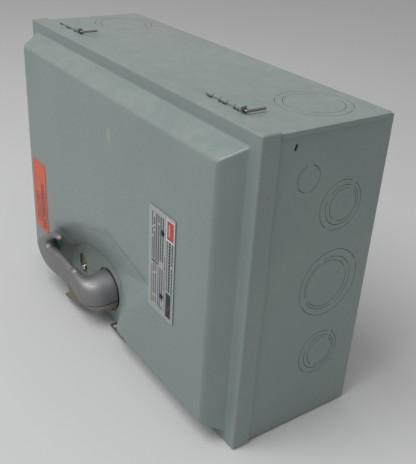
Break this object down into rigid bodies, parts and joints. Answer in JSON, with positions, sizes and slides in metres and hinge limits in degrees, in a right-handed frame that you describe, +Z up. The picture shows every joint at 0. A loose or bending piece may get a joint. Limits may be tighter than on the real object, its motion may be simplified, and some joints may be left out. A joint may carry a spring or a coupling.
{
  "type": "ac disconnect box",
  "caption": "Steel enclosed fusible disconnect switch with hinged drawn cover, cover-mounted lever handle, padlock hasp, knockouts and blade-and-fuse interior.",
  "frame": {"origin": "bottom centre of the box as it stands on its long side with the hinges on top", "axes": "+Z up to the hinge side, -Y out of the cover, +X to the line end, which is up when the box hangs on a wall"},
  "size_m": [0.407, 0.167, 0.2911],
  "materials": {
    "painted_steel": "satin grey-green enamel",
    "plain_steel": "mill finish with light oxide",
    "cast_handle": "satin die casting, worn on the crown",
    "zinc_yellow": "yellow zinc plate",
    "bright_steel": "bright plate",
    "copper": "bare copper, slightly dulled",
    "tinned": "tin plate",
    "lug_alloy": "extruded, tin plated",
    "phenolic": "moulded phenolic",
    "fibre": "grey vulcanised fibre",
    "fuse_paper": "glass-filled tube",
    "plate_print": "printed aluminium foil",
    "sticker_orange": "vinyl",
    "rivet_black": "black oxide"
  },
  "bodies": {
    "enclosure": {"enclosure_shell": "painted_steel", "line_end_wall": "painted_steel", "load_end_wall": "painted_steel", "seam_lips": "painted_steel", "hinge_loops": "painted_steel", "hinge_pins": "plain_steel", "cover_catch": "plain_steel", "switch_base": "phenolic", "base_screws": "plain_steel", "line_lugs": "lug_alloy", "load_lugs": "lug_alloy", "line_lug_screws": "plain_steel", "load_lug_screws": "plain_steel", "line_jaws": "copper", "pivot_jaws": "copper", "pivot_pins": "plain_steel", "mechanism_frame": "zinc_yellow", "crossbar_stub": "plain_steel", "yoke_spring": "plain_steel", "line_fuse_clips": "tinned", "load_fuse_clips": "tinned", "fuse_tubes": "fuse_paper", "fuse_caps": "tinned", "arc_chutes": "fibre", "phase_barriers": "fibre", "ground_bar": "lug_alloy", "ground_screws": "plain_steel"},
    "cover": {"cover": "painted_steel", "cover_knuckles": "painted_steel", "rating_plate": "plate_print", "plate_rivets": "rivet_black", "warning_sticker": "sticker_orange", "shaft_bushing": "plain_steel", "interlock_stud": "plain_steel"},
    "handle": {"handle": "cast_handle", "handle_shaft": "plain_steel", "shaft_clip": "plain_steel", "drive_dog": "plain_steel", "hasp_rivet": "plain_steel"},
    "hasp": {"hasp_plate": "zinc_yellow"},
    "interlock": {"interlock_lever": "zinc_yellow", "defeat_screw": "bright_steel"},
    "blade_bar": {"switch_blades": "copper", "crossbar": "phenolic", "crossbar_arm": "plain_steel"},
    "yoke": {"drive_yoke": "plain_steel"}
  },
  "joints": [
    {"name": "cover_hinge", "type": "hinge", "parent": "enclosure", "child": "cover", "pos_m": [0, -0.0279, 0.2889], "axis": [-1, 0, 0], "range_deg": [0, 105]},
    {"name": "handle_turn", "type": "hinge", "parent": "cover", "child": "handle", "pos_m": [-0.028, -0.0485, 0.037], "axis": [0, 1, 0], "range_deg": [0, 150]},
    {"name": "hasp_swing", "type": "hinge", "parent": "handle", "child": "hasp", "pos_m": [-0.046, -0.076, 0.036], "axis": [0, 1, 0], "range_deg": [0, 15]},
    {"name": "interlock_swing", "type": "hinge", "parent": "cover", "child": "interlock", "pos_m": [-0.107, -0.0467, 0.051], "axis": [0, 1, 0], "range_deg": [0, 8]},
    {"name": "yoke_turn", "type": "hinge", "parent": "enclosure", "child": "yoke", "pos_m": [-0.028, -0.0085, 0.037], "axis": [0, 1, 0], "range_deg": [0, 150]},
    {"name": "blade_swing", "type": "hinge", "parent": "enclosure", "child": "blade_bar", "pos_m": [0.012, 0.0355, 0.168], "axis": [0, 0, 1], "range_deg": [0, 55]}
  ],
  "couplings": [
    {"joint": "yoke_turn", "follows": "handle_turn", "ratio": 1},
    {"joint": "blade_swing", "follows": "handle_turn", "ratio": 0.36667}
  ]
}
